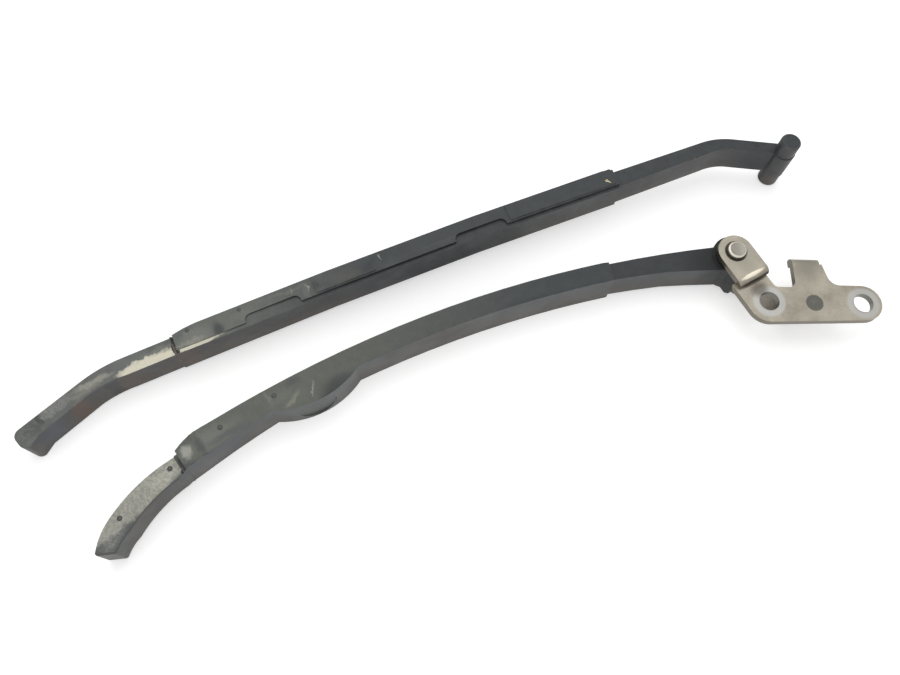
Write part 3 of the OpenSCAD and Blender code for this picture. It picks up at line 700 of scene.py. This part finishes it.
class CHAINGUIDE_OT_guide(bpy.types.Operator):
    """Chain guide: black rail with its cross pin, and the clip-over shoe"""
    bl_idname = "chainguide.guide"
    bl_label = "Chain guide"

    def execute(self, context):
        settings = context.scene.chain_guide
        dark = settings.arm_colour
        (step_x, step_y), step_way = on_guide(GUIDE_LEN, 3)
        rail_wear_and_light = [
            wear_or_light((-232, -31), 210, (30, 5.5), "#6a6c69", 0.5, 0.9, 0.25),
            wear_or_light((-210.5, -22.0), 205.6, (20, 2.5), "#cfcbb9", 0.98, 0.22),
            wear_or_light((-214.0, -23.8), 205.6, (17, 2.0), "#e0dac4", 0.8, 0.5, 0.7),
            wear_or_light((-212.0, -20.0), 205.6, (14, 1.3), "#7f8078", 0.6, 0.7, 0.2),
            wear_or_light((-233.6, -32.2), 213, (8.5, 1.5), "#9b9990", 0.85, 0.6, 0.3),
            wear_or_light((-235.5, -35.2), 215, (7.5, 1.1), "#85857c", 0.7, 0.6, 0.3),
            wear_or_light((-244.5, -41.0), 222, (8.0, 2.4), "#8d8e8a", 0.8, 0.5, 0.8),
            wear_or_light((-248.6, -44.0), 222, (1.2, 3.2), "#3a3d3e", 0.8, 0.7),
            wear_or_light((-251.5, -48.2), 226, (3.2, 2.6), "#858783", 0.75, 0.5, 0.85),
            wear_or_light((-250.5, -47.2), 226, (5.5, 5.0), "#3f4344", 0.5, 0.8),
            # painted shadow: a dark strip in the groove at the end of the shoe
            wear_or_light((step_x - 0.4, step_y - 0.2), step_way, (0.8, 8), "#1b1d1f", 0.95, 0.3),
            wear_or_light((-38.6, 51.6), 206.5, (3.3, 0.85), "#7a5c3c", 0.85, 0.4, 0.5),
            wear_or_light((-35.5, 53.2), 206.5, (1.0, 0.9), "#141516", 0.9, 0.5),
            wear_or_light((-38.6, 50.6), 206.5, (4.0, 0.35), "#1e2021", 0.7, 0.5),
            wear_or_light((-129, 15), 203, (52, 60), "#22272b", 0.85, 0.75, back=True),
            wear_or_light((-238, -39), 218, (3.6, 8), "#6d564a", 0.75, 0.5, 0.3, back=True),
            wear_or_light((-222, -32), 206, (6.5, 8), "#6b584c", 0.6, 0.7, 0.5, back=True),
            wear_or_light((-206, -24), 205, (6.5, 8), "#6e594b", 0.55, 0.7, 0.5, back=True),
            wear_or_light((-228, -33), 208, (3, 8), "#3c3f42", 0.6, 0.7, back=True),
            wear_or_light((-246, -46), 222, (7, 20), "#54585f", 0.8, 0.7, back=True),
            wear_or_light((-28, 51), 190, (5, 6), "#6d5238", 0.55, 0.8, 0.4, back=True),
            wear_or_light((-14, 52), 180, (9, 20), "#33383c", 0.7, 0.8, back=True),
        ]
        bm = cad_solid("guide_rail")
        shape_sides(bm, (step_x, step_y), step_way, guide_mid, 4.8 * MM,
                    [(0.02, -0.9), (0.9, -0.9), (1.3, 0)], crisp=True)
        rail = finish_mesh(
            bm, "Guide_rail",
            [nylon("Glass-filled nylon, rail", (dark, "#3f4345"), ("#565856", "#6f716c"),
                   (-150, -205), ("#484a4c", "#5a5650"), rail_wear_and_light),
             # the paler second copy goes on the rounded edges: a painted highlight
             nylon("Glass-filled nylon, rail, highlit edge", (dark, "#454a4c"), ("#5c5e5c", "#757772"),
                   (-150, -205), ("#4e5052", "#605c56"), rail_wear_and_light, edge=True)],
            settings.edge_round)
        hand_over(rail, "bracket", "arm_nylon", "guide_rail")

        shoe_patches = [
            wear_or_light((-203.5, -17.0), 205, (7.5, 4.8), "#787a74", 0.7, 0.6, 0.3),
            wear_or_light((-204.5, -18.5), 205, (7.0, 1.5), "#a09e90", 0.5, 0.7, 0.5),
            wear_or_light((-196.5, -14.2), 118, (4.6, 2.3), "#33373a", 0.75, 0.7),
            wear_or_light((-188.5, -8.5), 205, (7.0, 3.2), "#6e716b", 0.6, 0.9, 0.2),
            wear_or_light((-176.0, -0.9), 204, (13.0, 0.8), "#6f7167", 0.6, 0.8, 0.3),
            wear_or_light((-169.3, -0.8), 118, (3.8, 1.5), "#6a6d6a", 0.6, 0.8, 0.2),
            wear_or_light((-169.0, 0.6), 118, (1.8, 0.35), "#a2a293", 0.75, 0.6, 0.4),
            wear_or_light((-174.2, -0.4), 100, (1.6, 0.3), "#9b9b8c", 0.7, 0.6, 0.4),
            wear_or_light((-167.4, -3.0), 118, (1.6, 0.3), "#9b9b8c", 0.6, 0.6, 0.4),
            wear_or_light((-166.2, 1.6), 204, (2.2, 3.4), "#2d3134", 0.6, 0.8),
            wear_or_light((-156.3, 5.2), 204, (6.0, 2.6), "#57544a", 0.6, 0.8, 0.4),
            wear_or_light((-149.6, 7.9), 204, (3.6, 3.6), "#2b2f32", 0.6, 0.8),
            wear_or_light((-146.2, 12.0), 118, (1.7, 0.3), "#a8a797", 0.7, 0.6, 0.4),
            wear_or_light((-142.0, 9.5), 204, (4.0, 3.2), "#474b49", 0.5, 0.9),
            wear_or_light((-120.0, 20.5), 203, (24.0, 1.0), "#4a4d48", 0.5, 0.9, 0.2),
            wear_or_light((-68.3, 41.6), 160, (1.1, 0.28), "#e3d8a8", 0.98, 0.3),
            wear_or_light((-68.9, 42.3), 40, (0.5, 0.2), "#d9ce9c", 0.9, 0.3),
            wear_or_light((-129, 15), 203, (60, 60), "#262b2e", 0.7, 0.75, back=True),
        ]
        bm = cad_solid("guide_shoe")
        corners = [e for e in bm.edges
                   if abs((e.verts[0].co - e.verts[1].co).normalized().dot(GUIDE_UP)) > 0.99
                   and 0.7 * MM < e.calc_length() < 1.7 * MM
                   and self.in_pocket((e.verts[0].co + e.verts[1].co) / 2)]
        if len(corners) != 8:
            raise RuntimeError(f"the pockets have {len(corners)} inner corners, not 8")
        bmesh.ops.bevel(bm, geom=corners, offset=2.1 * MM, segments=6, profile=0.5,
                        affect="EDGES")
        shoe = finish_mesh(
            bm, "Guide_shoe",
            [nylon("Nylon 66, guide", (settings.shoe_colour, "#3d4143"),
                   ("#565a56", "#6a6c66"), (-140, -195), ("#3f4245", "#4b4945"), shoe_patches),
             # the paler second copy goes on the rounded edges: a painted highlight
             nylon("Nylon 66, guide, highlit edge", (settings.shoe_colour, "#434849"),
                   ("#5d615d", "#70736d"), (-140, -195), ("#45484b", "#514f4b"), shoe_patches,
                   edge=True)],
            settings.edge_round * 0.6)
        hand_over(shoe, "bracket", "shoe_nylon", "guide_shoe")
        return {"FINISHED"}

    @staticmethod
    def in_pocket(point):
        """True at the inner corners of the open pockets behind the shoe."""
        for s in (42.4, 61, 116, 135):
            (x, y), _ = on_guide(s, 2.9)
            if (Vector((x, y)) * MM - point.xy).length < 1.2 * MM:
                return True
        return False


class CHAINGUIDE_OT_marks(bpy.types.Operator):
    """Ejector pin marks in the side faces"""
    bl_idname = "chainguide.marks"
    bl_label = "Ejector marks"

    def execute(self, context):
        settings = context.scene.chain_guide
        mark = pin_mark("Ejector mark, oily")
        tip_z, shoe_z = BLADE_MID + 5.85 * MM, BLADE_MID + 7 * MM
        points = [Vector((x * MM, y * MM, z)) for x, y, z in (
            (-206.2, -59.2, tip_z), (-218.9, -74.1, tip_z), (-192.4, -46.5, shoe_z),
            (-176.9, -36.1, shoe_z))]
        self.build(context, "Blade_ejector_marks", points, Vector((0, 0, 1)),
                   settings.mark_radius, mark, "blade")
        points = [guide_mid(Vector((x * MM, y * MM, 0))) + 6.6 * MM * GUIDE_UP
                  for x, y in ((-206.2, -14.7), (-190.4, -7.3))]
        self.build(context, "Guide_ejector_marks", points, GUIDE_UP,
                   settings.mark_radius * 0.85, mark, "bracket")
        return {"FINISHED"}

    def build(self, context, name, points, up, radius, material, body):
        mesh = bpy.data.meshes.new(name)
        mesh.from_pydata(points, [], [])
        obj = bpy.data.objects.new(name, mesh)
        context.scene.collection.objects.link(obj)
        tree = self.tree(material)
        modifier = obj.modifiers.new("Marks", "NODES")
        modifier.node_group = tree
        ids = {i.name: i.identifier for i in tree.interface.items_tree
               if getattr(i, "in_out", "") == "INPUT"}
        modifier[ids["Radius"]] = radius
        modifier[ids["Turn"]] = up.to_track_quat("Z", "Y").to_euler()
        settle(obj)
        if not obj.data.polygons:
            raise RuntimeError(f"{name} came out empty")
        obj.data.shade_smooth()
        hand_over(obj, body, "shoe_nylon")

    @staticmethod
    def tree(material):
        """A round mark on each point: a low rim with a disc sunk inside it."""
        tree = bpy.data.node_groups.new("Ejector marks", "GeometryNodeTree")
        face = tree.interface
        face.new_socket("Geometry", in_out="INPUT", socket_type="NodeSocketGeometry")
        face.new_socket("Radius", in_out="INPUT", socket_type="NodeSocketFloat")
        face.new_socket("Turn", in_out="INPUT", socket_type="NodeSocketVector")
        face.new_socket("Geometry", in_out="OUTPUT", socket_type="NodeSocketGeometry")
        given = add(tree, "NodeGroupInput")
        rim = add(tree, "GeometryNodeCurvePrimitiveCircle", {"Resolution": 32,
                                                             "Radius": given.outputs[1]})
        thick = add(tree, "ShaderNodeMath", {0: given.outputs[1], 1: 0.05},
                    operation="MULTIPLY")
        section = add(tree, "GeometryNodeCurvePrimitiveCircle", {"Resolution": 8,
                                                                 "Radius": thick.outputs[0]})
        ring = add(tree, "GeometryNodeCurveToMesh", {0: rim.outputs[0], 1: section.outputs[0]})
        disc = add(tree, "GeometryNodeMeshCylinder",
                   {"Vertices": 32, "Radius": given.outputs[1], "Depth": thick.outputs[0]})
        dish = add(tree, "GeometryNodeJoinGeometry")
        tree.links.new(ring.outputs[0], dish.inputs[0])
        tree.links.new(disc.outputs[0], dish.inputs[0])
        placed = add(tree, "GeometryNodeInstanceOnPoints",
                     {0: given.outputs[0], 2: dish.outputs[0], 5: given.outputs[2]})
        real = add(tree, "GeometryNodeRealizeInstances", {0: placed.outputs[0]})
        coat = add(tree, "GeometryNodeSetMaterial", {0: real.outputs[0], 2: material})
        add(tree, "NodeGroupOutput", {0: coat.outputs[0]})
        return tree


class CHAINGUIDE_OT_stage(bpy.types.Operator):
    """White paper, soft light and the camera"""
    bl_idname = "chainguide.stage"
    bl_label = "Stage"

    def execute(self, context):
        scene = context.scene
        scene.view_settings.view_transform = "Standard"
        bm = bmesh.new()
        reach = 2.5
        bm.faces.new([bm.verts.new((x, y, FLOOR_Z))
                      for x, y in ((-reach, -reach), (reach, -reach), (reach, reach),
                                   (-reach, reach))])
        mesh = bpy.data.meshes.new("Paper")
        bm.to_mesh(mesh)
        bm.free()
        mesh.materials.append(studio_paper("Seamless paper"))
        paper = bpy.data.objects.new("Paper", mesh)
        scene.collection.objects.link(paper)

        world = bpy.data.worlds.new("Studio")
        world.use_nodes = True
        tree = world.node_tree
        tree.nodes.clear()
        rays = add(tree, "ShaderNodeLightPath")
        seen = add(tree, "ShaderNodeMath", {0: rays.outputs["Is Camera Ray"],
                                            1: rays.outputs["Is Transmission Ray"]},
                   operation="MAXIMUM")
        seen = add(tree, "ShaderNodeMath", {0: seen.outputs[0],
                                            1: rays.outputs["Is Glossy Ray"]},
                   operation="MAXIMUM")
        power = add(tree, "ShaderNodeMapRange", {0: seen.outputs[0], 3: 0.65, 4: 1.0})
        sky = add(tree, "ShaderNodeBackground", {0: (1, 1, 1, 1), 1: power.outputs[0]})
        add(tree, "ShaderNodeOutputWorld", {0: sky.outputs[0]})
        scene.world = world

        centre = (CAD_BOX[0] + CAD_BOX[1]) / 2
        for name, place, size, watts in (
                ("Overhead soft box", Vector((-0.05, 0.35, 0.75)), 0.7,
                 scene.chain_guide.key_light),):
            lamp = bpy.data.lights.new(name, "AREA")
            lamp.shape = "SQUARE"
            lamp.size = size
            lamp.energy = watts
            lamp_obj = bpy.data.objects.new(name, lamp)
            lamp_obj.location = centre + place
            lamp_obj.rotation_euler = (-place).to_track_quat("-Z", "Y").to_euler()
            scene.collection.objects.link(lamp_obj)

        lens = bpy.data.cameras.new("Camera")
        lens.sensor_width = 36.0
        lens.lens = 33.16
        lens.clip_start = 0.01
        lens.dof.use_dof = False
        camera = bpy.data.objects.new("Camera", lens)
        camera.location = (-130.66 * MM, -112.76 * MM, 251 * MM)
        camera.rotation_euler = [math.radians(a) for a in (21.383, -2.078, 0.396)]
        scene.collection.objects.link(camera)
        scene.camera = camera
        return {"FINISHED"}


STEPS = (CHAINGUIDE_OT_bracket, CHAINGUIDE_OT_pivot, CHAINGUIDE_OT_blade,
         CHAINGUIDE_OT_guide, CHAINGUIDE_OT_marks, CHAINGUIDE_OT_stage)


class CHAINGUIDE_PT_panel(bpy.types.Panel):
    """Buttons for each group of pieces"""
    bl_idname = "CHAINGUIDE_PT_panel"
    bl_label = "Chain Guides"
    bl_space_type = "VIEW_3D"
    bl_region_type = "UI"
    bl_category = "Chain Guides"

    def draw(self, context):
        for name in ChainGuideSettings.__annotations__:
            self.layout.prop(context.scene.chain_guide, name)
        for step in STEPS:
            self.layout.operator(step.bl_idname)


CLASSES = (ChainGuideSettings,) + STEPS + (CHAINGUIDE_PT_panel,)


def register():
    for cls in CLASSES:
        bpy.utils.register_class(cls)
    bpy.types.Scene.chain_guide = bpy.props.PointerProperty(type=ChainGuideSettings)


def unregister():
    del bpy.types.Scene.chain_guide
    for cls in reversed(CLASSES):
        bpy.utils.unregister_class(cls)


def main():
    register()
    for step in STEPS:
        group, name = step.bl_idname.split(".")
        getattr(getattr(bpy.ops, group), name)()


if __name__ == "__main__":
    main()
